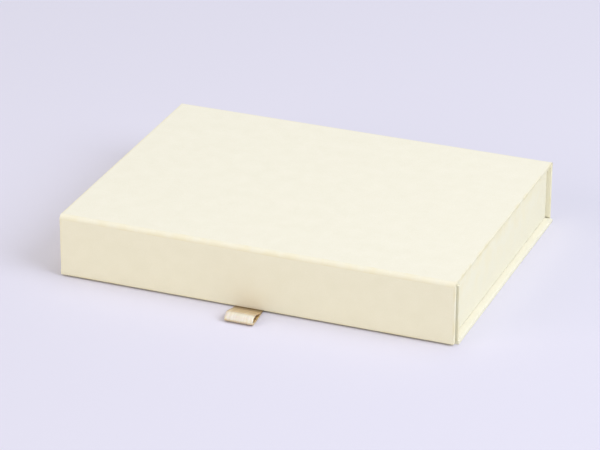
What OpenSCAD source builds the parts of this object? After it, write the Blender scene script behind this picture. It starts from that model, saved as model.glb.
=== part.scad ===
// Book-style rigid gift box: a paper-wrapped greyboard tray glued to a case of four panels
// (base, spine, lid and flap) that turn on folds of their own wrapping paper, with a front
// wall that stands on the base behind the flap.
// X runs along the box, -Y is the flap's side, Z is up, and the box is drawn closed.
// The origin is on the table, under the middle of the closed case.

/* [Case] */
// Length of the base panel, left to right
base_w = 226; // [160:1:320]
// How much shorter the lid, flap and spine are than the base, at each end
cover_inset = 1.7; // [0:0.1:2.5]
// How much shorter the front wall is than the base, at each end
front_inset = 0.6; // [0:0.1:2]
// Depth of the closed case, from the flap's face to the spine's face
case_d = 166; // [120:1:240]
// Height of the closed case
case_h = 36; // [28:0.5:60]
// Outer radius of the soft edge where the paper folds between two panels
fold_r = 2.6; // [1:0.1:4]
// Gap between that paper and the rounded edge of the board under it
fold_play = 0.05; // [0.02:0.01:0.15]
// Gap that stays open at each side of a closed mitre
mitre_gap = 0.15; // [0.1:0.05:0.4]

/* [Board and paper] */
// Thickness of the greyboard in the case panels
board_t = 1.8; // [1.2:0.1:3]
// Thickness of the wrapping and lining papers
paper_t = 0.2; // [0.12:0.02:0.3]
// Width of wrapping paper folded in over each free edge
turn_in = 14; // [9:1:20]
// Distance from a panel's free edge to the edge of its lining
lining_inset = 3; // [2:0.5:6]
// Width of wrapping paper folded in at the foot of the front wall
foot_turn_in = 8; // [5:1:9]

/* [Tray] */
// Distance from the base's end to the tray's end wall
tray_margin = 4; // [3:0.1:6]
// Thickness of the greyboard in the tray
tray_board_t = 1.8; // [1.4:0.1:2.6]
// Gap between the closed lid and the tray's rim
lid_gap = 0.2; // [0.1:0.05:0.5]
// Gap between the closed flap and the front wall
flap_gap = 0.8; // [0.6:0.1:1.5]
// Length of each leg of the paper tape on the tray's corners
stay_leg = 12; // [8:1:20]
// Thickness of that tape
stay_t = 0.15; // [0.1:0.01:0.2]
// Distance from the tape's ends to the ends of the corner
stay_end = 2; // [1:0.5:4]

/* [Magnets] */
// Diameter of each magnet disc
magnet_d = 12; // [8:0.5:14]
// Thickness of each magnet disc
magnet_t = 1; // [0.8:0.1:1.1]
// Distance from the flap's end to a magnet's centre
magnet_end = 36; // [24:1:50]
// Height of the magnets' centres above the table
magnet_z = 18; // [16:0.5:19]
// Radial room between a magnet and its hole
magnet_fit = 0.1; // [0.05:0.01:0.2]

/* [Ribbon] */
// Width of the pull ribbon
ribbon_w = 16; // [10:1:25]
// Thickness of one layer of ribbon
ribbon_t = 0.25; // [0.15:0.01:0.35]
// Place of the ribbon's middle along the box
ribbon_x = -2.5; // [-20:0.5:20]
// How far the loop stands out in front of the flap
ribbon_reach = 16; // [10:0.5:30]
// Height of the loop at its front
loop_h = 4; // [3:0.1:6]
// Length of the tails glued inside the flap
tail_len = 20; // [16:1:24]
// Height of the ribbon's underside above the table
ribbon_lift = 0.3; // [0.2:0.05:0.6]
// Gap between the ribbon and what it passes
ribbon_play = 0.2; // [0.1:0.05:0.4]

/* [Hidden] */
$fn = 96;
through = 1; // how far a cut runs past the face that it opens

cover_w = base_w - 2 * cover_inset;
base_t = paper_t + board_t + paper_t;
panel_t = base_t + paper_t;
flap_lift = ribbon_lift + 2 * ribbon_t + ribbon_play;

front_y = -case_d / 2;
back_y = case_d / 2;
flap_h = case_h - flap_lift;

front_wall_w = base_w - 2 * front_inset;
front_wall_y = front_y + panel_t + flap_gap;

tray_x = base_w / 2 - tray_margin;
tray_y0 = front_wall_y + base_t;
tray_y1 = back_y - panel_t;
tray_z0 = base_t;
tray_z1 = case_h - panel_t - lid_gap;
tray_floor_z = tray_z0 + paper_t + tray_board_t;
tray_board_z1 = tray_z1 - paper_t;
tray_wall = paper_t + tray_board_t + paper_t;
base_d = back_y - front_wall_y;
front_wall_h = tray_z1 - base_t;
magnet_x = cover_w / 2 - magnet_end;
tail_w = base_t - 2 * ribbon_t;
mitre_angle = 45; // half of the right angle that two panels meet at
board_setback = mitre_gap + paper_t / sin(mitre_angle);
mid_board = paper_t + board_t / 2;

cream = "#f3f0de";
lining = "#efe9d2";
greyboard = "#b3a996";
kraft = "#c9a877";
satin = "#e9dfc6";
steel = "#c9ccd0";
glue = "#ece6d0";

// A box between two opposite corners
module block(from, to) {
    translate(from) cube(to - from);
}

// Each panel is drawn flat: X along it, Y across it, and Z from its outer face inwards.
// These five stand it in its place in the closed case.
module at_base() {
    translate([0, front_wall_y, 0]) children();
}

module at_lid() {
    translate([0, front_y, case_h]) mirror([0, 0, 1]) children();
}

module at_spine() {
    translate([0, back_y, 0]) rotate([90, 0, 0]) children();
}

module at_flap() {
    translate([0, front_y, flap_lift]) mirror([0, 1, 0]) rotate([90, 0, 0]) children();
}

module at_front_wall() {
    translate([0, front_wall_y, base_t]) mirror([0, 1, 0]) rotate([90, 0, 0]) children();
}

// What a fold takes off the near end of a panel's section: a mitre, and a round under the paper
module fold_end(setback) {
    reach = 2 * panel_t;
    polygon([[-through, -through], [setback - through, -through], [setback + reach, reach], [-through, reach]]);
    difference() {
        translate([-through, -through]) square(fold_r + through);
        translate([fold_r, fold_r]) circle(r = fold_r - paper_t - fold_play);
    }
}

// A panel's section, drawn along X between two depths. Its near and far edges are folds where
// the folds pair says so; a free edge is drawn in by the inset.
module panel_layer(length, across, folds, inset, depths, setback) {
    near = folds[0] ? 0 : inset;
    far = folds[1] ? across : across - inset;
    rotate([90, 0, 90]) linear_extrude(length, center = true) difference() {
        translate([near, depths[0]]) square([far - near, depths[1] - depths[0]]);
        if (folds[0]) fold_end(setback);
        if (folds[1]) translate([across, 0]) mirror([1, 0]) fold_end(setback);
    }
}

module panel_board(length, across, folds) {
    panel_layer(length - 2 * paper_t, across, folds, paper_t, [paper_t, paper_t + board_t], board_setback);
}

// The wrapping paper of a panel: outer sheet, free edges and the turn-ins over them
module panel_wrap(length, across, folds, near_turn_in = turn_in) {
    near = folds[0] ? -through : near_turn_in;
    far = folds[1] ? across + through : across - turn_in;
    difference() {
        panel_layer(length, across, folds, 0, [0, base_t], board_setback);
        panel_board(length, across, folds);
        block([-length / 2 + turn_in, near, mid_board], [length / 2 - turn_in, far, base_t + through]);
    }
}

// The lining of a panel: a sheet on the turn-ins, thicker between them, with a lip down each mitre
module panel_lining(length, across, folds) {
    difference() {
        panel_layer(length - 2 * lining_inset, across, folds, lining_inset, [0, panel_t], mitre_gap);
        panel_layer(length, across, folds, 0, [-through, base_t], board_setback);
    }
    panel_layer(length - 2 * turn_in, across, folds, turn_in,
                [paper_t + board_t, base_t + paper_t / 2], (mitre_gap + board_setback) / 2);
}

// The paper round a fold: side_y and side_z say which way its outside faces
module fold(y, z, side_y, side_z) {
    translate([-cover_w / 2, y, z]) mirror([0, side_y < 0 ? 1 : 0, 0]) mirror([0, 0, side_z < 0 ? 1 : 0])
        rotate([90, 0, 90]) linear_extrude(cover_w) intersection() {
            difference() {
                circle(r = fold_r);
                circle(r = fold_r - paper_t);
            }
            square(fold_r);
        }
}

// A block of the tray's outline, drawn in by some distance all round
module tray_block(inset, from_z, to_z) {
    block([-tray_x + inset, tray_y0 + inset, from_z], [tray_x - inset, tray_y1 - inset, to_z]);
}

// Discs in pairs, one towards each end of the box, with their axes along Y
module magnet_pair(radius, from_y, to_y) {
    for (side = [-1, 1])
        translate([side * magnet_x, from_y, magnet_z]) rotate([-90, 0, 0]) cylinder(r = radius, h = to_y - from_y);
}

wall_magnet_y = front_wall_y + paper_t;
flap_magnet_y = front_y + paper_t + board_t;

// Base panel
module base_board() {
    color(greyboard) at_base() panel_board(base_w, base_d, [false, true]);
}

module base_wrap() {
    color(cream) at_base() panel_wrap(base_w, base_d, [false, true]);
}

// Spine panel
module spine_board() {
    color(greyboard) at_spine() panel_board(cover_w, case_h, [true, true]);
}

module spine_wrap() {
    color(cream) at_spine() panel_wrap(cover_w, case_h, [true, true]);
}

module spine_lining() {
    color(lining) at_spine() panel_lining(cover_w, case_h, [true, true]);
}

module base_fold_paper() {
    color(cream) fold(back_y - fold_r, fold_r, 1, -1);
}

// Front wall, behind the flap
module front_wall_board() {
    color(greyboard) difference() {
        at_front_wall() panel_board(front_wall_w, front_wall_h, [false, false]);
        magnet_pair(magnet_d / 2 + magnet_fit, wall_magnet_y - through, wall_magnet_y + magnet_t);
    }
}

module front_wall_wrap() {
    color(cream) at_front_wall() panel_wrap(front_wall_w, front_wall_h, [false, false], foot_turn_in);
}

module front_wall_magnets() {
    color(steel) magnet_pair(magnet_d / 2, wall_magnet_y, wall_magnet_y + magnet_t);
}

// Adhesive that fills the low places between the turn-ins of the case and the tray
module tray_glue() {
    glue_x = tray_x - turn_in;
    wall_glue_x = front_wall_w / 2 - turn_in;
    rear_y = tray_y1 - lining_inset;
    color(glue) {
        block([-glue_x, tray_y0 + turn_in, base_t - paper_t], [glue_x, tray_y1 - turn_in, tray_z0 + paper_t]);
        block([-glue_x, tray_y1 - turn_in, base_t - paper_t], [glue_x, rear_y, tray_z0]);
        block([-wall_glue_x, tray_y0 - paper_t, base_t + foot_turn_in], [wall_glue_x, tray_y0, tray_z1 - turn_in]);
    }
}

// Tray
module corner_stay() {
    height = tray_board_z1 - tray_floor_z - 2 * stay_end;
    difference() {
        cube([stay_leg, stay_leg, height]);
        translate([stay_t, stay_t, -through]) cube([stay_leg, stay_leg, height + 2 * through]);
    }
}

module corner_stays() {
    color(kraft) for (side = [0, 1], end = [0, 1])
        translate([0, (tray_y0 + tray_y1) / 2, tray_floor_z + stay_end])
            mirror([side, 0, 0]) mirror([0, end, 0])
                translate([-tray_x + paper_t, -(tray_y1 - tray_y0) / 2 + paper_t, 0]) corner_stay();
}

module tray_floor_board() {
    color(greyboard) tray_block(paper_t, tray_z0 + paper_t, tray_floor_z);
}

module tray_long_wall(from_y) {
    block([-tray_x + paper_t, from_y, tray_floor_z], [tray_x - paper_t, from_y + tray_board_t, tray_board_z1]);
}

module tray_end_wall(from_x) {
    block([from_x, tray_y0 + paper_t + tray_board_t, tray_floor_z],
          [from_x + tray_board_t, tray_y1 - paper_t - tray_board_t, tray_board_z1]);
}

module tray_front_board() {
    color(greyboard) difference() {
        tray_long_wall(tray_y0 + paper_t);
        corner_stays();
    }
}

module tray_back_board() {
    color(greyboard) difference() {
        tray_long_wall(tray_y1 - paper_t - tray_board_t);
        corner_stays();
    }
}

module tray_left_board() {
    color(greyboard) difference() {
        tray_end_wall(-tray_x + paper_t);
        corner_stays();
    }
}

module tray_right_board() {
    color(greyboard) difference() {
        tray_end_wall(tray_x - paper_t - tray_board_t);
        corner_stays();
    }
}

// One sheet up the outside, over the rim, down the inside, and turned in under the floor
module tray_wrap() {
    color(cream) difference() {
        tray_block(0, tray_z0, tray_z1);
        difference() {
            tray_block(paper_t, tray_z0 + paper_t, tray_board_z1);
            tray_block(paper_t + tray_board_t, tray_floor_z, tray_z1);
        }
        tray_block(tray_wall, tray_z0 + paper_t, tray_z1 + through);
        tray_block(turn_in, tray_z0 - through, tray_floor_z);
    }
}

module tray_floor_lining() {
    color(lining) tray_block(tray_wall, tray_floor_z, tray_floor_z + paper_t);
}

// Lid panel
module lid_board() {
    color(greyboard) at_lid() panel_board(cover_w, case_d, [true, true]);
}

module lid_wrap() {
    color(cream) at_lid() panel_wrap(cover_w, case_d, [true, true]);
}

module lid_lining() {
    color(lining) at_lid() panel_lining(cover_w, case_d, [true, true]);
}

module lid_fold_paper() {
    color(cream) fold(back_y - fold_r, case_h - fold_r, 1, 1);
}

// Flap panel
module ribbon_slot() {
    slot_x = ribbon_w / 2 + ribbon_play;
    block([ribbon_x - slot_x, -through, tail_w], [ribbon_x + slot_x, tail_len + ribbon_play, base_t]);
}

module flap_board() {
    color(greyboard) difference() {
        at_flap() difference() {
            panel_board(cover_w, flap_h, [false, true]);
            ribbon_slot();
        }
        magnet_pair(magnet_d / 2 + magnet_fit, flap_magnet_y - magnet_t, flap_magnet_y + through);
    }
}

module flap_wrap() {
    color(cream) at_flap() difference() {
        panel_wrap(cover_w, flap_h, [false, true]);
        ribbon_slot();
    }
}

module flap_lining() {
    color(lining) at_flap() difference() {
        panel_lining(cover_w, flap_h, [false, true]);
        ribbon_slot();
    }
}

module flap_fold_paper() {
    color(cream) fold(front_y + fold_r, case_h - fold_r, -1, 1);
}

module flap_magnets() {
    color(steel) magnet_pair(magnet_d / 2, flap_magnet_y - magnet_t, flap_magnet_y);
}

// Where a line from p touches the upper side of a circle about c
function touch_point(p, c, r) =
    let (away = p - c, turn = atan2(away.y, away.x) + acos(r / norm(away)))
    c + r * [cos(turn), sin(turn)];

// A teardrop from the ribbon's root to the round front of its loop, with Y across and Z up
module teardrop(root_low, root_high, centre, radius) {
    translate(centre) circle(r = radius);
    polygon([root_low, root_high, touch_point(root_high, centre, radius), centre, [centre.x, root_low.y]]);
}

// Two tails run down inside the flap and out under its edge, and the ribbon's middle makes the loop
module pull_ribbon() {
    tail_y = front_y + tail_w;
    bend_y = tail_y - ribbon_play;
    root_y = front_y - ribbon_play;
    radius = loop_h / 2;
    centre = [front_y - ribbon_reach + radius, ribbon_lift + radius];
    double_t = 2 * ribbon_t;
    color(satin) translate([ribbon_x - ribbon_w / 2, 0, 0]) rotate([90, 0, 90]) linear_extrude(ribbon_w) {
        translate([tail_y, flap_lift]) square([double_t, tail_len]);
        intersection() {
            translate([bend_y, flap_lift]) difference() {
                circle(r = ribbon_play + double_t);
                circle(r = ribbon_play);
            }
            translate([bend_y, ribbon_lift]) square([ribbon_play + double_t, flap_lift - ribbon_lift]);
        }
        translate([root_y, ribbon_lift]) square([bend_y - root_y, double_t]);
        difference() {
            teardrop([root_y, ribbon_lift], [root_y, ribbon_lift + double_t], centre, radius);
            teardrop([root_y, ribbon_lift + ribbon_t], [root_y, ribbon_lift + ribbon_t],
                     centre, radius - ribbon_t);
        }
    }
}

base_board();
base_wrap();
spine_board();
spine_wrap();
spine_lining();
base_fold_paper();
front_wall_board();
front_wall_wrap();
front_wall_magnets();
tray_glue();
tray_floor_board();
tray_front_board();
tray_back_board();
tray_left_board();
tray_right_board();
corner_stays();
tray_wrap();
tray_floor_lining();
lid_board();
lid_wrap();
lid_lining();
lid_fold_paper();
flap_board();
flap_wrap();
flap_lining();
flap_fold_paper();
flap_magnets();
pull_ribbon();
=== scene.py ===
import math

import bmesh
import bpy
from mathutils import Matrix, Vector
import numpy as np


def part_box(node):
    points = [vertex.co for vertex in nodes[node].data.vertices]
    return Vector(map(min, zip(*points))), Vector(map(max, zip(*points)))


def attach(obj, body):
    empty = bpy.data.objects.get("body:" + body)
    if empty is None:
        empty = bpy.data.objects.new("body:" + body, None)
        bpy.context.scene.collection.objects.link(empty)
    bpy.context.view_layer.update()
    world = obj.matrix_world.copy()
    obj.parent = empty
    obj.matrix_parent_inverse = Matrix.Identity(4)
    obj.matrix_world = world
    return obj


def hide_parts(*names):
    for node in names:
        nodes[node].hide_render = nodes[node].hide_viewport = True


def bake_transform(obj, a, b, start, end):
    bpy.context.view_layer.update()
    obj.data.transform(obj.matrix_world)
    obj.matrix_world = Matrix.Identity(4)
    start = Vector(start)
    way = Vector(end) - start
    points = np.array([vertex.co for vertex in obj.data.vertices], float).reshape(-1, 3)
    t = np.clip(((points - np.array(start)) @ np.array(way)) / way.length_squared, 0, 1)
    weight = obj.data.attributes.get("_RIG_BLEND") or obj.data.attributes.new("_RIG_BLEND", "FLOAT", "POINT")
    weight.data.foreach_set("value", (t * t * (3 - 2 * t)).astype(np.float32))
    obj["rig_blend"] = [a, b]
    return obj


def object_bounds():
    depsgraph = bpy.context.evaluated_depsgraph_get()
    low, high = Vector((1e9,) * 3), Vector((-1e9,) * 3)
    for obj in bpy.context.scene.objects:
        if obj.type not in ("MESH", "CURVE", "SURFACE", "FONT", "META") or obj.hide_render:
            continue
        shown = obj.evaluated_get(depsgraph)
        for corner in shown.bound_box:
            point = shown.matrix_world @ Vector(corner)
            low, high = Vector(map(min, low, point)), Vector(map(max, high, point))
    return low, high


# Book-style gift box: the papers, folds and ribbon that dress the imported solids.
# X runs along the box, -Y is the flap's side and Z is up, in metres.

mm = 0.001
hair = 0.01 * mm  # how near two places count as the same
weldGap = 0.0001 * mm  # how near two points of a mesh are made one

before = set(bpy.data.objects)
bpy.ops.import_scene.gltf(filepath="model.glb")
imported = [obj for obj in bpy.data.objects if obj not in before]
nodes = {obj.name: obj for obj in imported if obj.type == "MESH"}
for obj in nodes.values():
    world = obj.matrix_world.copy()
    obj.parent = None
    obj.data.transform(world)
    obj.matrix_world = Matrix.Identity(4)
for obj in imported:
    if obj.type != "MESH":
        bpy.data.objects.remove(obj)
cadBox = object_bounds()
scene = bpy.context.scene
print("frame loaded:", len(nodes), "nodes")


def linear(hexColour):
    # an sRGB hex value as linear red, green, blue and alpha
    channels = [int(hexColour[i:i + 2], 16) / 255 for i in (1, 3, 5)]
    return [c / 12.92 if c <= 0.04045 else ((c + 0.055) / 1.055) ** 2.4 for c in channels] + [1]


def addNode(tree, kind, settings, links=None):
    # settings hold properties, a colour ramp's stops and unlinked sockets, links hold sockets that are fed
    node = tree.nodes.new(kind)
    for key, value in settings.items():
        if key == "stops":
            for element, (position, hexColour) in zip(node.color_ramp.elements, value):
                element.position = position
                element.color = linear(hexColour)
        elif isinstance(key, str) and hasattr(node, key):
            setattr(node, key, value)
        else:
            node.inputs[key].default_value = value
    for key, source in (links or {}).items():
        tree.links.new(source, node.inputs[key])
    return node


def newMaterial(name, shaderSettings):
    material = bpy.data.materials.new(name)
    material.use_nodes = True
    tree = material.node_tree
    shader = tree.nodes["Principled BSDF"]
    for key, value in shaderSettings.items():
        shader.inputs[key].default_value = value
    return material, tree, shader


def perSize(size):
    return 1 / size  # the noise scale that gives features of this size


waveUnit = 2 * math.pi / 20  # turns that into the wave texture's scale
mixFactor, mixUnder, mixOver, mixed = 0, 6, 7, 2  # the Mix node's sockets when it mixes colours


def paperMaterial(name, look):
    # Uncoated paper: cloudy where the pulp lies thicker, with short fibres pressed into the face
    material, tree, shader = newMaterial(name, {"Roughness": look["roughness"], "IOR": 1.5,
                                                "Specular IOR Level": look["specular"]})
    place = addNode(tree, "ShaderNodeTexCoord", {}).outputs["Object"]
    cloud = addNode(tree, "ShaderNodeTexNoise", {"Scale": perSize(look["cloudSize"]), "Detail": 3},
                    {"Vector": place}).outputs["Fac"]
    pulp = addNode(tree, "ShaderNodeValToRGB", {"stops": [(0.3, look["thin"]), (0.7, look["thick"])]},
                   {"Fac": cloud})
    fibres = []
    for turn in (0.3, 1.9):  # two lays of fibres that cross, each five times as long as wide
        lay = addNode(tree, "ShaderNodeMapping", {"Rotation": (turn, turn, turn), "Scale": (1, 0.2, 1)},
                      {"Vector": place})
        fibres.append(addNode(tree, "ShaderNodeTexNoise",
                              {"Scale": perSize(look["fibreWidth"]), "Detail": 2, "Distortion": 0.6},
                              {"Vector": lay.outputs["Vector"]}).outputs["Fac"])
    felt = addNode(tree, "ShaderNodeMath", {"operation": "MULTIPLY"}, {0: fibres[0], 1: fibres[1]})
    speck = addNode(tree, "ShaderNodeMapRange", {"From Min": 0.16, "From Max": 0.34, "To Max": look["speck"]},
                    {"Value": felt.outputs[0]})
    specked = addNode(tree, "ShaderNodeMix", {"data_type": "RGBA", mixOver: linear(look["fibre"])},
                      {mixFactor: speck.outputs["Result"], mixUnder: pulp.outputs["Color"]})
    # where the paper is rubbed on edges and folds; in the wrapping paper this colour is also painted shade
    # that dims their highlights
    wearAndShade = addNode(tree, "ShaderNodeAttribute", {"attribute_name": "wearAndShade"}).outputs["Fac"]
    wearAndShadePatches = addNode(tree, "ShaderNodeMapRange", {"From Min": 0.35, "From Max": 0.65, "To Max": look["wearAndShadePatches"]},
                  {"Value": cloud})
    wearAndShadeAmount = addNode(tree, "ShaderNodeMath", {"operation": "MULTIPLY"}, {0: wearAndShade, 1: wearAndShadePatches.outputs["Result"]})
    paper = addNode(tree, "ShaderNodeMix", {"data_type": "RGBA", mixOver: linear(look["wearAndShade"])},
                    {mixFactor: wearAndShadeAmount.outputs[0], mixUnder: specked.outputs[mixed]})
    tree.links.new(paper.outputs[mixed], shader.inputs["Base Color"])
    bump = addNode(tree, "ShaderNodeBump", {"Strength": look["bump"], "Distance": look["fibreDepth"]},
                   {"Height": felt.outputs[0]})
    tree.links.new(bump.outputs["Normal"], shader.inputs["Normal"])
    return material


# Cream wrapping paper, calendered on one side: matte, warm white, a little yellower where it is rubbed, and
# darker there as painted shade that dims the highlights on its folds and edges.
# Real fibres are 0.02 mm wide, and are drawn ten times as wide so that a grain shows at all.
wrapPaper = paperMaterial("creamWrappingPaper", {
    "thin": "#f5f2e0", "thick": "#f8f5e4", "fibre": "#ece6cc", "wearAndShade": "#efe6c2",
    "cloudSize": 9 * mm, "fibreWidth": 0.2 * mm, "fibreDepth": 0.03 * mm,
    "speck": 0.35, "wearAndShadePatches": 0.8, "bump": 0.25, "roughness": 0.82, "specular": 0.3})

# Lining paper: the same cream, smoother and a shade deeper
liningPaper = paperMaterial("creamLiningPaper", {
    "thin": "#f0ebd4", "thick": "#f5f0dc", "fibre": "#e6dfc2", "wearAndShade": "#f7f1de",
    "cloudSize": 14 * mm, "fibreWidth": 0.3 * mm, "fibreDepth": 0.02 * mm,
    "speck": 0.25, "wearAndShadePatches": 0.6, "bump": 0.2, "roughness": 0.75, "specular": 0.35})


def greyboardMaterial():
    # Pressed waste paper: grey brown, mottled, with darker flecks and a rough cut edge
    look = {"dark": "#9c9180", "pale": "#b9ae9b", "fleck": "#6d6357",
            "mottle": 5 * mm, "fleckSize": 0.7 * mm, "grain": 0.4 * mm, "depth": 0.08 * mm}
    material, tree, shader = newMaterial("greyboard", {"Roughness": 0.95, "Specular IOR Level": 0.2})
    place = addNode(tree, "ShaderNodeTexCoord", {}).outputs["Object"]
    mottle = addNode(tree, "ShaderNodeTexNoise", {"Scale": perSize(look["mottle"]), "Detail": 5},
                     {"Vector": place}).outputs["Fac"]
    pulp = addNode(tree, "ShaderNodeValToRGB", {"stops": [(0.35, look["dark"]), (0.65, look["pale"])]},
                   {"Fac": mottle})
    fleck = addNode(tree, "ShaderNodeTexVoronoi", {"Scale": perSize(look["fleckSize"])}, {"Vector": place})
    spot = addNode(tree, "ShaderNodeMapRange", {"From Min": 0.12, "From Max": 0.05, "To Max": 0.7},
                   {"Value": fleck.outputs["Distance"]})
    board = addNode(tree, "ShaderNodeMix", {"data_type": "RGBA", mixOver: linear(look["fleck"])},
                    {mixFactor: spot.outputs["Result"], mixUnder: pulp.outputs["Color"]})
    tree.links.new(board.outputs[mixed], shader.inputs["Base Color"])
    grain = addNode(tree, "ShaderNodeTexNoise", {"Scale": perSize(look["grain"]), "Detail": 4},
                    {"Vector": place})
    bump = addNode(tree, "ShaderNodeBump", {"Strength": 0.6, "Distance": look["depth"]},
                   {"Height": grain.outputs["Fac"]})
    tree.links.new(bump.outputs["Normal"], shader.inputs["Normal"])
    return material


def kraftMaterial():
    # Gummed kraft tape: unbleached brown paper with its machine direction showing as fine streaks
    look = {"dark": "#b08c5c", "pale": "#cfae7e", "streak": 0.5 * mm, "depth": 0.02 * mm}
    material, tree, shader = newMaterial("gummedKraftTape", {"Roughness": 0.6, "Specular IOR Level": 0.4})
    place = addNode(tree, "ShaderNodeTexCoord", {}).outputs["Object"]
    lay = addNode(tree, "ShaderNodeMapping", {"Scale": (1, 1, 0.1)}, {"Vector": place})
    streak = addNode(tree, "ShaderNodeTexNoise", {"Scale": perSize(look["streak"]), "Detail": 4},
                     {"Vector": lay.outputs["Vector"]}).outputs["Fac"]
    tape = addNode(tree, "ShaderNodeValToRGB", {"stops": [(0.35, look["dark"]), (0.65, look["pale"])]},
                   {"Fac": streak})
    tree.links.new(tape.outputs["Color"], shader.inputs["Base Color"])
    bump = addNode(tree, "ShaderNodeBump", {"Strength": 0.3, "Distance": look["depth"]}, {"Height": streak})
    tree.links.new(bump.outputs["Normal"], shader.inputs["Normal"])
    return material


def glueMaterial():
    # Dried animal glue: amber cream, brushed on, so it is glossy and streaky
    look = {"thin": "#efe6c4", "thick": "#dcc690", "stroke": 3 * mm, "depth": 0.1 * mm}
    material, tree, shader = newMaterial("driedGlue", {"Roughness": 0.3, "IOR": 1.52})
    place = addNode(tree, "ShaderNodeTexCoord", {}).outputs["Object"]
    lay = addNode(tree, "ShaderNodeMapping", {"Scale": (0.15, 1, 1)}, {"Vector": place})
    stroke = addNode(tree, "ShaderNodeTexNoise", {"Scale": perSize(look["stroke"]), "Detail": 3},
                     {"Vector": lay.outputs["Vector"]}).outputs["Fac"]
    glue = addNode(tree, "ShaderNodeValToRGB", {"stops": [(0.3, look["thin"]), (0.7, look["thick"])]},
                   {"Fac": stroke})
    tree.links.new(glue.outputs["Color"], shader.inputs["Base Color"])
    bump = addNode(tree, "ShaderNodeBump", {"Strength": 0.5, "Distance": look["depth"]}, {"Height": stroke})
    tree.links.new(bump.outputs["Normal"], shader.inputs["Normal"])
    return material


def nickelMaterial():
    # Nickel plate on a sintered magnet: bright grey metal, softly tumbled
    look = {"smooth": 0.22, "scuffed": 0.4, "scuff": 1.5 * mm, "depth": 0.01 * mm}
    material, tree, shader = newMaterial("nickelPlate", {"Base Color": linear("#c6c4be"), "Metallic": 1})
    place = addNode(tree, "ShaderNodeTexCoord", {}).outputs["Object"]
    scuff = addNode(tree, "ShaderNodeTexNoise", {"Scale": perSize(look["scuff"]), "Detail": 5},
                    {"Vector": place})
    rough = addNode(tree, "ShaderNodeMapRange", {"To Min": look["smooth"], "To Max": look["scuffed"]},
                    {"Value": scuff.outputs["Fac"]})
    tree.links.new(rough.outputs["Result"], shader.inputs["Roughness"])
    bump = addNode(tree, "ShaderNodeBump", {"Strength": 0.2, "Distance": look["depth"]},
                   {"Height": scuff.outputs["Fac"]})
    tree.links.new(bump.outputs["Normal"], shader.inputs["Normal"])
    return material


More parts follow.
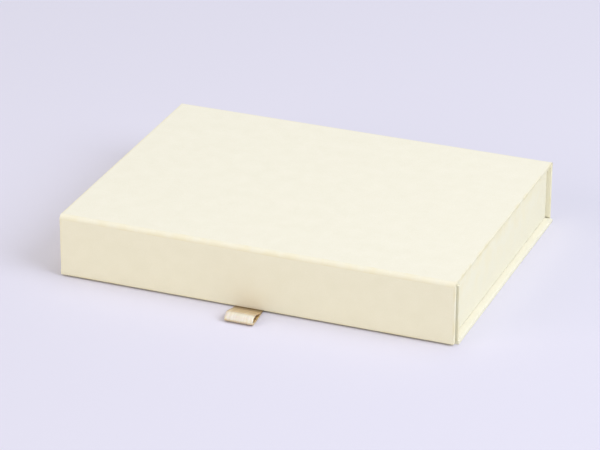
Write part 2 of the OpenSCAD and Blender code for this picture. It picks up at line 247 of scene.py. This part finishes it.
def ribbonMaterial():
    # Polyester satin ribbon: tan, with painted shade and light in bands across its slope for its creases. Its
    # floats lie open and paler on the bend, where a painted highlight makes it almost white, and painted
    # shade darkens its root under the flap's edge. Light passes through it, so its shaded side glows. Its
    # cross ribs are really 0.2 mm wide, and are drawn four times as wide so that they show.
    # the two palest colours paint a highlight on the bend over paler open floats, and the dark brown one
    # paints shade at the root
    look = {"deep": "#a07a38", "bright": "#dcbf80", "openShade": "#e3d9c3", "open": "#eee7da",
            "rootShade": "#866628", "plyShare": 0.3,
            "rib": 0.8 * mm, "ribDepth": 0.05 * mm, "creaseShadeSpacing": 3.6 * mm, "ply": 1.2 * mm}
    material, tree, shader = newMaterial("satinRibbon", {
        "Roughness": 0.42, "IOR": 1.6, "Specular IOR Level": 1, "Anisotropic": 0.4,
        "Coat Weight": 0.6, "Coat Roughness": 0.35, "Sheen Weight": 0.2, "Sheen Roughness": 0.4,
        "Subsurface Weight": 0.6, "Subsurface Radius": (1, 0.75, 0.4), "Subsurface Scale": 0.6 * mm})
    along = addNode(tree, "ShaderNodeUVMap", {"uv_map": "weave"}).outputs["UV"]
    yarn = addNode(tree, "ShaderNodeTangent", {"direction_type": "UV_MAP", "uv_map": "weave"})
    tree.links.new(yarn.outputs["Tangent"], shader.inputs["Tangent"])
    ribs = addNode(tree, "ShaderNodeTexWave",
                   {"wave_type": "BANDS", "bands_direction": "Y", "Scale": perSize(look["rib"]) * waveUnit,
                    "Distortion": 1.5, "Detail": 1}, {"Vector": along}).outputs["Fac"]
    lay = addNode(tree, "ShaderNodeMapping", {"Scale": (1, 0.12, 1)}, {"Vector": along})
    ply = addNode(tree, "ShaderNodeTexNoise", {"Scale": perSize(look["ply"]), "Detail": 2},
                  {"Vector": lay.outputs["Vector"]}).outputs["Fac"]
    # painted shade and light: deep and bright bands across the slope, for its creases
    creaseShadeBands = addNode(tree, "ShaderNodeTexWave",
                      {"wave_type": "BANDS", "bands_direction": "Y",
                       "Scale": perSize(look["creaseShadeSpacing"]) * waveUnit, "Distortion": 2, "Detail": 1,
                       "Detail Scale": 0.5}, {"Vector": along}).outputs["Fac"]
    creaseShaded = addNode(tree, "ShaderNodeMix",
                      {"data_type": "RGBA", mixUnder: linear(look["deep"]), mixOver: linear(look["bright"])},
                      {mixFactor: creaseShadeBands})
    plies = addNode(tree, "ShaderNodeValToRGB", {"stops": [(0.3, look["deep"]), (0.7, look["bright"])]},
                    {"Fac": ply})
    satin = addNode(tree, "ShaderNodeMix", {"data_type": "RGBA", mixFactor: look["plyShare"]},
                    {mixUnder: creaseShaded.outputs[mixed], mixOver: plies.outputs["Color"]})
    # painted highlight: near-white colour on the bend, over paler open floats
    floatHighlightRamp = addNode(tree, "ShaderNodeValToRGB", {"stops": [(0.3, look["openShade"]), (0.7, look["open"])]},
                     {"Fac": ply})
    openness = addNode(tree, "ShaderNodeAttribute", {"attribute_name": "open"})
    opened = addNode(tree, "ShaderNodeMix", {"data_type": "RGBA"},
                     {mixFactor: openness.outputs["Fac"], mixUnder: satin.outputs[mixed],
                      mixOver: floatHighlightRamp.outputs["Color"]})
    # painted shade: darker brown at the root, under the flap's edge
    rootShadeMask = addNode(tree, "ShaderNodeAttribute", {"attribute_name": "rootShade"})
    ribbon = addNode(tree, "ShaderNodeMix", {"data_type": "RGBA", mixOver: linear(look["rootShade"])},
                     {mixFactor: rootShadeMask.outputs["Fac"], mixUnder: opened.outputs[mixed]})
    tree.links.new(ribbon.outputs[mixed], shader.inputs["Base Color"])
    bump = addNode(tree, "ShaderNodeBump", {"Strength": 0.5, "Distance": look["ribDepth"]}, {"Height": ribs})
    tree.links.new(bump.outputs["Normal"], shader.inputs["Normal"])
    return material


greyboard = greyboardMaterial()
kraftTape = kraftMaterial()
driedGlue = glueMaterial()
nickelPlate = nickelMaterial()
satinRibbon = ribbonMaterial()
print("materials made")


def vertsOf(parts):
    return [part for part in parts if isinstance(part, bmesh.types.BMVert)]


def wholeOf(bm):
    return bm.verts[:] + bm.edges[:] + bm.faces[:]


def finishPiece(name, bm, material, smoothAngle=35):
    # an edge that turns by more than smoothAngle degrees stays sharp
    mesh = bpy.data.meshes.new(name)
    bmesh.ops.recalc_face_normals(bm, faces=bm.faces[:])
    bm.to_mesh(mesh)
    bm.free()
    for polygon in mesh.polygons:
        polygon.use_smooth = True
    mesh.set_sharp_from_angle(angle=math.radians(smoothAngle))
    mesh.materials.append(material)
    piece = bpy.data.objects.new(name, mesh)
    scene.collection.objects.link(piece)
    return piece


def cutAway(bm, point, normal):
    # takes off what lies on the normal's side of a plane, and closes the cut
    cut = bmesh.ops.bisect_plane(bm, geom=wholeOf(bm), dist=weldGap, plane_co=point, plane_no=normal,
                                 clear_outer=True)
    rim = [part for part in cut["geom_cut"] if isinstance(part, bmesh.types.BMEdge)]
    bmesh.ops.contextual_create(bm, geom=rim)


def roundEdges(bm, edges, radius, segments):
    bmesh.ops.bevel(bm, geom=edges, offset=radius, offset_type="OFFSET", affect="EDGES", segments=segments,
                    profile=0.5, material=-1, clamp_overlap=False)


def markWearAndShade(piece, wearAndShade):
    # keeps how rubbed and how darkened by painted shade each point is, from 0 to 1, for the paper material
    values = [wearAndShade(vertex.co) for vertex in piece.data.vertices]
    piece.data.attributes.new("wearAndShade", "FLOAT", "POINT").data.foreach_set("value", values)


# the case's papers, and the folds between them
caseSizes = {
    "frontY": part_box("flap_wrap")[0].y, "backY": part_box("spine_wrap")[1].y,
    "height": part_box("lid_wrap")[1].z, "flapLift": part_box("flap_wrap")[0].z,
    "baseFront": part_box("base_wrap")[0].y, "thick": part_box("base_wrap")[1].z,
    "coverLength": 2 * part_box("lid_wrap")[1].x, "baseLength": 2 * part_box("base_wrap")[1].x,
    "wallLength": 2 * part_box("front_wall_wrap")[1].x,
    "wallFoot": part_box("front_wall_wrap")[0].z, "wallTop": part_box("front_wall_wrap")[1].z,
    "foldRadius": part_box("lid_fold_paper")[1].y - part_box("lid_fold_paper")[0].y,
    "foldPaper": 0.2 * mm,  # thickness of the paper round a fold
    "foldPlay": 0.05 * mm,  # gap between that paper and the board's round edge
    "mitreSetback": 0.43 * mm,  # how far along the panel each mitre stands back from its fold's middle
    "edgeRadius": 0.22 * mm,  # paper drawn tight over a cut board edge
    "edgeSegments": 3,
    "tightAngle": math.radians(40),  # the least turn that is rounded by that radius
    "rimWidth": 1.4 * mm,  # how far in from an edge the paper is rubbed and painted darker
    "foldWearAndShade": 0.6,  # how rubbed the folds are, with painted shade that dims their highlight
    "boardSteps": 14, "foldSteps": 20,  # faces in the quarter turn of a board's edge, and of its paper
}


def panelPiece(name, length, across, folds, wearAndShadeAmount, place):
    # The panel is drawn flat, X along it, Y across it and Z from its outer face inwards.
    radius = caseSizes["foldRadius"]
    step = caseSizes["foldPaper"] + caseSizes["foldPlay"]
    deep = 2 * radius  # more than its thickness, to which it is cut below
    bm = bmesh.new()
    rail = []
    for y, isFold, side in ((0, folds[0], 1), (across, folds[1], -1)):
        if isFold:
            corner = bmesh.ops.create_vert(bm, co=(0, y + side * radius, 0))["vert"][0]
            start = bmesh.ops.create_vert(bm, co=(0, y + side * radius, step))["vert"][0]
            bm.edges.new((corner, start))
            turned = bmesh.ops.spin(bm, geom=[start], cent=(0, y + side * radius, radius), axis=(1, 0, 0),
                                    angle=-side * math.pi / 2, steps=caseSizes["boardSteps"], use_merge=False)
            last = vertsOf(turned["geom_last"])[0]
        else:
            corner = last = bmesh.ops.create_vert(bm, co=(0, y, 0))["vert"][0]
        floor = bmesh.ops.create_vert(bm, co=(0, y, deep))["vert"][0]
        bm.edges.new((last, floor))
        rail.append((corner, floor))
    bm.edges.new((rail[0][0], rail[1][0]))
    bm.edges.new((rail[0][1], rail[1][1]))
    bmesh.ops.remove_doubles(bm, verts=bm.verts[:], dist=weldGap)
    bmesh.ops.contextual_create(bm, geom=bm.edges[:])
    bmesh.ops.translate(bm, verts=bm.verts[:], vec=(-length / 2, 0, 0))
    swept = bmesh.ops.extrude_face_region(bm, geom=bm.faces[:])["geom"]
    bmesh.ops.translate(bm, verts=vertsOf(swept), vec=(length, 0, 0))
    cutAway(bm, (0, 0, caseSizes["thick"]), (0, 0, 1))
    setback = caseSizes["mitreSetback"]
    if folds[0]:
        cutAway(bm, (0, setback, 0), (0, -1, 1))
    if folds[1]:
        cutAway(bm, (0, across - setback, 0), (0, 1, 1))

    def isFree(edge):
        # both its ends lie on the same cut edge of the board
        a, b = (vertex.co for vertex in edge.verts)
        return (abs(a.x - b.x) < hair or (not folds[0] and max(a.y, b.y) < hair)
                or (not folds[1] and min(a.y, b.y) > across - hair))

    bmesh.ops.recalc_face_normals(bm, faces=bm.faces[:])
    tight = [edge for edge in bm.edges if isFree(edge) and edge.calc_face_angle() > caseSizes["tightAngle"]]
    roundEdges(bm, tight, caseSizes["edgeRadius"], caseSizes["edgeSegments"])
    rim = caseSizes["rimWidth"]
    rimLines = [((length / 2 - rim, 0, 0), (1, 0, 0)), ((rim - length / 2, 0, 0), (1, 0, 0))]
    if not folds[0]:
        rimLines.append(((0, rim, 0), (0, 1, 0)))
    if not folds[1]:
        rimLines.append(((0, across - rim, 0), (0, 1, 0)))
    for point, normal in rimLines:
        bmesh.ops.bisect_plane(bm, geom=wholeOf(bm), dist=weldGap, plane_co=point, plane_no=normal)
    bmesh.ops.triangulate(bm, faces=[face for face in bm.faces if len(face.verts) > 4])
    piece = finishPiece(name, bm, wrapPaper)

    def wearAndShade(point):
        gaps = [length / 2 - abs(point.x)]
        if not folds[0]:
            gaps.append(point.y)
        if not folds[1]:
            gaps.append(across - point.y)
        return wearAndShadeAmount * max(0, 1 - max(0, min(gaps)) / rim)

    markWearAndShade(piece, wearAndShade)
    piece.data.transform(place)
    return piece


def placed(x, y, z, origin):
    # sends the flat panel's X, Y and Z to these directions, and its origin to this point
    turn = Matrix((x, y, z)).transposed().to_4x4()
    return Matrix.Translation(origin) @ turn


def makePanels():
    s = caseSizes
    depth = s["backY"] - s["frontY"]
    panels = [
        # name, body, length, width, which long edges are folds, how rubbed and painted darker its edges are,
        # place
        ("lid_paper", "lid", s["coverLength"], depth, (True, True), 1,
         placed((-1, 0, 0), (0, 1, 0), (0, 0, -1), (0, s["frontY"], s["height"]))),
        ("flap_paper", "flap", s["coverLength"], s["height"] - s["flapLift"], (False, True), 1,
         placed((-1, 0, 0), (0, 0, 1), (0, 1, 0), (0, s["frontY"], s["flapLift"]))),
        ("spine_paper", "case_and_tray", s["coverLength"], s["height"], (True, True), 1,
         placed((1, 0, 0), (0, 0, 1), (0, -1, 0), (0, s["backY"], 0))),
        ("base_paper", "case_and_tray", s["baseLength"], s["backY"] - s["baseFront"], (False, True), 0,
         placed((1, 0, 0), (0, 1, 0), (0, 0, 1), (0, s["baseFront"], 0))),
        ("front_wall_paper", "case_and_tray", s["wallLength"], s["wallTop"] - s["wallFoot"],
         (False, False), 1,
         placed((-1, 0, 0), (0, 0, 1), (0, 1, 0), (0, s["baseFront"], s["wallFoot"]))),
    ]
    for name, body, length, across, folds, wearAndShadeAmount, place in panels:
        piece = panelPiece(name, length, across, folds, wearAndShadeAmount, place)
        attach(piece, body)
        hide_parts(name.replace("paper", "wrap"))
    print("panels made")


makePanels()


def foldPiece(name, y, z, sideY, sideZ):
    # a quarter turn of paper about the fold's centre, from the upright panel beside it to the level one
    s = caseSizes
    outer = s["foldRadius"]
    bm = bmesh.new()
    strip = bmesh.ops.create_grid(bm, x_segments=1, y_segments=1, size=0.5)["verts"]
    middle = outer - s["foldPaper"] / 2
    bmesh.ops.transform(bm, verts=strip, matrix=Matrix.Translation((0, y + sideY * middle, z))
                        @ Matrix.Diagonal((s["coverLength"], s["foldPaper"], 1, 1)))
    bmesh.ops.spin(bm, geom=wholeOf(bm), cent=(0, y, z), axis=(1, 0, 0), angle=sideY * sideZ * math.pi / 2,
                   steps=s["foldSteps"], use_merge=False)
    piece = finishPiece(name, bm, wrapPaper)
    markWearAndShade(piece, lambda point: s["foldWearAndShade"])
    return piece


def makeFolds():
    s = caseSizes
    r = s["foldRadius"]
    frontY, backY, top = s["frontY"] + r, s["backY"] - r, s["height"] - r
    base = foldPiece("base_fold", backY, r, 1, -1)
    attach(base, "case_and_tray")
    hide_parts("base_fold_paper")
    lid = foldPiece("lid_fold", backY, top, 1, 1)
    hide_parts("lid_fold_paper")
    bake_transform(lid, "case_and_tray", "lid", start=(0, s["backY"], top), end=(0, backY, s["height"]))
    flap = foldPiece("flap_fold", frontY, top, -1, 1)
    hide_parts("flap_fold_paper")
    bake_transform(flap, "lid", "flap", start=(0, frontY, s["height"]), end=(0, s["frontY"], top))
    print("folds made")


makeFolds()


# one sheet up the outside of the tray, over the rim and down the inside
traySizes = {
    "outer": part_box("tray_wrap"), "floor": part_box("tray_floor_lining")[0],
    "cornerRadius": 0.7 * mm,  # outside corners, paper over taped board
    "rimRadius": 0.55 * mm,  # the paper's turn over the top of the wall
    "footRadius": 0.75 * mm,  # its turn under the floor
    "insideRadius": 0.4 * mm,  # inside corners, one paper
    "segments": 4, "insideSegments": 3,
    "sharp": math.radians(60),  # the least turn that is rounded
    "rimWidth": 1.4 * mm,  # how far down from the rim the paper is rubbed and painted darker
}


def makeTray():
    s = traySizes
    low, high = s["outer"]
    wall = s["floor"].x - low.x
    bm = bmesh.new()
    bmesh.ops.create_cube(bm, size=1, matrix=Matrix.Translation((low + high) / 2)
                          @ Matrix.Diagonal((*(high - low), 1)))
    topFace = [face for face in bm.faces if face.normal.z > 0.5]
    bmesh.ops.inset_region(bm, faces=topFace, thickness=wall, use_even_offset=True)
    sunk = bmesh.ops.extrude_face_region(bm, geom=topFace)["geom"]
    bmesh.ops.delete(bm, geom=topFace, context="FACES_ONLY")
    bmesh.ops.translate(bm, verts=vertsOf(sunk), vec=(0, 0, s["floor"].z - high.z))
    bmesh.ops.recalc_face_normals(bm, faces=bm.faces[:])

    def corners(outside):
        # the upright edges of the outside, or else of the inside
        return [edge for edge in bm.edges if edge.calc_face_angle() > s["sharp"]
                and all(abs(a - b) < hair for a, b in zip(edge.verts[0].co.xy, edge.verts[1].co.xy))
                and (abs(edge.verts[0].co.x) > high.x - hair) == outside]

    def edgesAt(height):
        return [edge for edge in bm.edges if edge.calc_face_angle() > s["sharp"]
                and all(abs(vertex.co.z - height) < hair for vertex in edge.verts)]

    roundEdges(bm, corners(True), s["cornerRadius"], s["segments"])
    roundEdges(bm, corners(False), s["insideRadius"], s["insideSegments"])
    roundEdges(bm, edgesAt(high.z), s["rimRadius"], s["segments"])
    roundEdges(bm, edgesAt(low.z), s["footRadius"], s["segments"])
    piece = finishPiece("tray_paper", bm, wrapPaper)
    markWearAndShade(piece, lambda point: max(0, 1 - (high.z - point.z) / s["rimWidth"]))
    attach(piece, "case_and_tray")
    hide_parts("tray_wrap")
    print("tray paper made")


makeTray()


# the low discs that the magnets press into the papers over them
magnetMarks = {
    "spare": 0.4 * mm,  # how far the mark reaches past the magnet
    "rise": 0.1 * mm, "slope": 0.5 * mm,
    "shoulder": 0.6,  # the share of its rise that it keeps halfway down its slope
    "steps": 48, "smoothAngle": 60,
}


def markPiece(name, magnets, faceY, outwards, material):
    # a low round plateau on a face that looks along Y
    s = magnetMarks
    low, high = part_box(magnets)
    magnetRadius = (high.z - low.z) / 2
    radius = magnetRadius + s["spare"]
    height = (low.z + high.z) / 2
    profile = [(0, s["rise"]), (radius - s["slope"], s["rise"]),
               (radius - s["slope"] / 2, s["rise"] * s["shoulder"]), (radius, 0), (radius, -s["rise"])]
    bm = bmesh.new()
    for x in (low.x + magnetRadius, high.x - magnetRadius):
        line = [bmesh.ops.create_vert(bm, co=(x + r, faceY + outwards * out, height))["vert"][0]
                for r, out in profile]
        edges = [bm.edges.new(pair) for pair in zip(line, line[1:])]
        bmesh.ops.spin(bm, geom=line + edges, cent=(x, faceY, height), axis=(0, 1, 0), angle=2 * math.pi,
                       steps=s["steps"], use_merge=True)
    bmesh.ops.remove_doubles(bm, verts=bm.verts[:], dist=weldGap)
    back = [edge for edge in bm.edges if edge.is_boundary]
    bmesh.ops.holes_fill(bm, edges=back, sides=0)
    return finishPiece(name, bm, material, s["smoothAngle"])


def makeMarks():
    flapMark = markPiece("flap_magnet_marks", "flap_magnets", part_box("flap_lining")[1].y, 1, liningPaper)
    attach(flapMark, "flap")
    wallMark = markPiece("wall_magnet_marks", "front_wall_magnets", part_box("front_wall_wrap")[0].y, -1,
                         wrapPaper)
    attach(wallMark, "case_and_tray")
    print("magnet marks made")


makeMarks()


# the loop in front of the flap, and its two tails behind it
ribbonSizes = {
    "width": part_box("pull_ribbon")[1].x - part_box("pull_ribbon")[0].x,
    "middle": (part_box("pull_ribbon")[1].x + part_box("pull_ribbon")[0].x) / 2,
    "low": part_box("pull_ribbon")[0].z,
    "tailTop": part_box("pull_ribbon")[1].z, "tailBack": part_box("pull_ribbon")[1].y,
    "thick": 0.25 * mm,
    "bend": 0.3 * mm,  # how far each tail's turn under the flap is cut off at its corner
    # the upper layer of the loop, as how far out of the flap's face and how high above the lower layer
    "upper": [(0.3 * mm, 0.25 * mm), (3.5 * mm, 0.8 * mm), (8 * mm, 2.2 * mm), (12.6 * mm, 4 * mm),
              (16.2 * mm, 3.8 * mm), (18.3 * mm, 2 * mm)],
    "lower": [(17.6 * mm, 0.1 * mm), (15 * mm, 0), (9 * mm, 0), (0.3 * mm, 0)],
    "lean": 1.5 * mm,  # how far to the right of its root the loop's front lies
    "reach": 17.6 * mm,  # how far out it leans that much
    "opening": (11.3 * mm, 14.8 * mm),  # where its floats begin to open and the painted highlight begins, and where both are full
    "closed": 0.45,  # how much of the open floats and painted highlight is kept under the loop
    "rootShadeSpan": (1.8 * mm, 4 * mm),  # where the painted shade at its root ends
    "columns": 12, "cuts": 4, "smoothings": 6, "smoothFactor": 0.5, "smoothAngle": 180,
    "drawn": 0.96,  # the share of its thickness that is drawn, so that its layers stay apart
}


def between(value, low, high):
    return min(1, max(0, (value - low) / (high - low)))


def makeRibbon():
    s = ribbonSizes
    face, lift = caseSizes["frontY"], caseSizes["flapLift"]
    under = s["low"] + s["thick"] / 2
    over = under + s["thick"]
    innerTail, outerTail = s["tailBack"] - s["thick"] / 2, s["tailBack"] - 1.5 * s["thick"]
    route = [(outerTail, s["tailTop"]), (outerTail, lift), (outerTail - s["bend"], over)]
    route += [(face - out, under + rise) for out, rise in s["upper"] + s["lower"]]
    route += [(innerTail - s["bend"], under), (innerTail, under + s["bend"]), (innerTail, s["tailTop"])]
    bm = bmesh.new()
    weave = bm.loops.layers.uv.new("weave")
    travel = bm.verts.layers.float.new("travel")
    line = [bmesh.ops.create_vert(bm, co=(0, y, z))["vert"][0] for y, z in route]
    for pair in zip(line, line[1:]):
        bm.edges.new(pair)
    free = [edge for edge in bm.edges if max(v.co.y for v in edge.verts) < face]
    bmesh.ops.subdivide_edges(bm, edges=free, cuts=s["cuts"])
    loose = [v for v in bm.verts if v.co.y < face - s["upper"][0][0] - hair]
    for _ in range(s["smoothings"]):
        bmesh.ops.smooth_vert(bm, verts=loose, factor=s["smoothFactor"], use_axis_y=True, use_axis_z=True)

    # the length of ribbon up to each point, which the weave follows
    point = min((v for v in bm.verts if len(v.link_edges) == 1), key=lambda v: v.co.y)
    passed, length = None, 0
    while point:
        point[travel] = length
        ahead = [edge for edge in point.link_edges if edge is not passed]
        passed = ahead[0] if ahead else None
        length += passed.calc_length() if passed else 0
        point = passed.other_vert(point) if passed else None

    bmesh.ops.spin(bm, geom=bm.verts[:] + bm.edges[:], axis=(1, 0, 0), cent=(0, 0, 0), angle=0,
                   dvec=(s["width"] / s["columns"], 0, 0), steps=s["columns"], use_merge=False)
    for f in bm.faces:
        for corner in f.loops:
            corner[weave].uv = (corner.vert.co.x, corner.vert[travel])
    # the painted highlight on the bend over open floats, and the painted shade at the root
    openLayer, rootShadeLayer = (bm.verts.layers.float.new(name) for name in ("open", "rootShade"))
    travel = bm.verts.layers.float["travel"]
    nose = min(bm.verts, key=lambda v: v.co.y)[travel]
    for vertex in bm.verts:
        out = max(0, face - vertex.co.y)
        vertex.co.x += s["middle"] - s["width"] / 2 + s["lean"] * out / s["reach"]
        vertex[openLayer] = between(out, *s["opening"]) * (1 if vertex[travel] <= nose else s["closed"])
        vertex[rootShadeLayer] = 1 - between(out, *s["rootShadeSpan"])
    piece = finishPiece("ribbon_loop", bm, satinRibbon, s["smoothAngle"])
    thickness = piece.modifiers.new("thickness", "SOLIDIFY")
    thickness.thickness = s["thick"] * s["drawn"]
    thickness.offset = 0
    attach(piece, "flap")
    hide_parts("pull_ribbon")
    print("ribbon made, cut length %.1f mm" % (length / mm))


makeRibbon()


# the solids that stay as packed
solidMaterials = {
    greyboard: ["base_board", "spine_board", "lid_board", "flap_board", "front_wall_board",
                "tray_floor_board", "tray_front_board", "tray_back_board", "tray_left_board",
                "tray_right_board"],
    liningPaper: ["spine_lining", "lid_lining", "flap_lining", "tray_floor_lining"],
    kraftTape: ["corner_stays"],
    driedGlue: ["tray_glue"],
    nickelPlate: ["front_wall_magnets", "flap_magnets"],
}
for material, names in solidMaterials.items():
    for name in names:
        nodes[name].data.materials.clear()
        nodes[name].data.materials.append(material)
print("solids dressed")


studio = {
    "floorSize": 8,
    "floorColour": "#e4e2f0", "bounceColour": "#e4e1d7",  # as the camera sees it, and as it lights the box
    "worldColour": "#e4e2f0", "worldStrength": 0.45,  # as the camera sees it, and how strongly it lights
    "lamps": [
        # name, size, place, power, colour
        ("topSoftbox", 3.2, (0.2, 0.6, 3.4), 29.5, "#ffffff"),
        ("rightSoftbox", 2.0, (2, -0.35, 1.65), 38, "#edf2ff"),
        ("frontFill", 2.2, (-1.7, -2.1, 0.9), 26.2, "#ffefe2"),
    ],
}


def seenDirectly(tree):
    # 1 for the camera, and for what it sees in a gloss or through a clear piece
    rays = addNode(tree, "ShaderNodeLightPath", {})
    either = addNode(tree, "ShaderNodeMath", {"operation": "MAXIMUM"},
                     {0: rays.outputs["Is Camera Ray"], 1: rays.outputs["Is Glossy Ray"]})
    return addNode(tree, "ShaderNodeMath", {"operation": "MAXIMUM"},
                   {0: either.outputs[0], 1: rays.outputs["Is Transmission Ray"]}).outputs[0]


def makeStudio():
    s = studio
    bm = bmesh.new()
    bmesh.ops.create_grid(bm, x_segments=1, y_segments=1, size=s["floorSize"] / 2)
    bmesh.ops.translate(bm, verts=bm.verts[:], vec=(0, 0, cadBox[0][2]))
    floorMaterial, tree, shader = newMaterial("matteFloor", {"Roughness": 1, "Specular IOR Level": 0})
    shade = addNode(tree, "ShaderNodeMix",
                    {"data_type": "RGBA", mixUnder: linear(s["bounceColour"]),
                     mixOver: linear(s["floorColour"])}, {mixFactor: seenDirectly(tree)})
    tree.links.new(shade.outputs[mixed], shader.inputs["Base Color"])
    floor = finishPiece("studio_floor", bm, floorMaterial)

    world = bpy.data.worlds.new("studioLight")
    scene.world = world
    world.use_nodes = True
    tree = world.node_tree
    plain = tree.nodes["Background"]
    plain.inputs["Color"].default_value = (1, 1, 1, 1)
    plain.inputs["Strength"].default_value = s["worldStrength"]
    seen = addNode(tree, "ShaderNodeBackground", {"Color": linear(s["worldColour"]), "Strength": 1})
    choice = addNode(tree, "ShaderNodeMixShader", {}, {0: seenDirectly(tree), 1: plain.outputs[0],
                                                       2: seen.outputs[0]})
    tree.links.new(choice.outputs[0], tree.nodes["World Output"].inputs["Surface"])

    for name, size, place, power, colour in s["lamps"]:
        light = bpy.data.lights.new(name, "AREA")
        light.shape = "DISK"
        light.size = size
        light.energy = power
        light.color = linear(colour)[:3]
        lamp = bpy.data.objects.new(name, light)
        lamp.location = place
        lamp.rotation_euler = (-Vector(place)).to_track_quat("-Z", "Y").to_euler()
        scene.collection.objects.link(lamp)
    print("studio made")


cameraFit = {
    "azimuth": 21.34, "elevation": 25.14, "roll": 0.26,  # degrees
    "distance": 1744 * mm, "right": -5.81 * mm, "up": -3.83 * mm,
    "target": (0, 0, 17.75 * mm), "lens": 192.04, "sensor": 36, "farthest": 50,
}


def makeCamera():
    s = cameraFit
    azimuth, elevation, roll = (math.radians(s[key]) for key in ("azimuth", "elevation", "roll"))
    away = Vector((math.sin(azimuth) * math.cos(elevation), -math.cos(azimuth) * math.cos(elevation),
                   math.sin(elevation)))
    right = (-away).cross(Vector((0, 0, 1))).normalized()
    up = right.cross(-away)
    right, up = (math.cos(roll) * right + math.sin(roll) * up, math.cos(roll) * up - math.sin(roll) * right)
    lens = bpy.data.cameras.new("photoLens")
    lens.lens = s["lens"]
    lens.sensor_width = s["sensor"]
    lens.clip_end = s["farthest"]
    camera = bpy.data.objects.new("photoCamera", lens)
    place = Vector(s["target"]) + away * s["distance"] + right * s["right"] + up * s["up"]
    camera.matrix_world = Matrix.Translation(place) @ Matrix((right, up, away)).transposed().to_4x4()
    scene.collection.objects.link(camera)
    scene.camera = camera
    scene.view_settings.view_transform = "Standard"
    print("camera made")


makeStudio()
makeCamera()
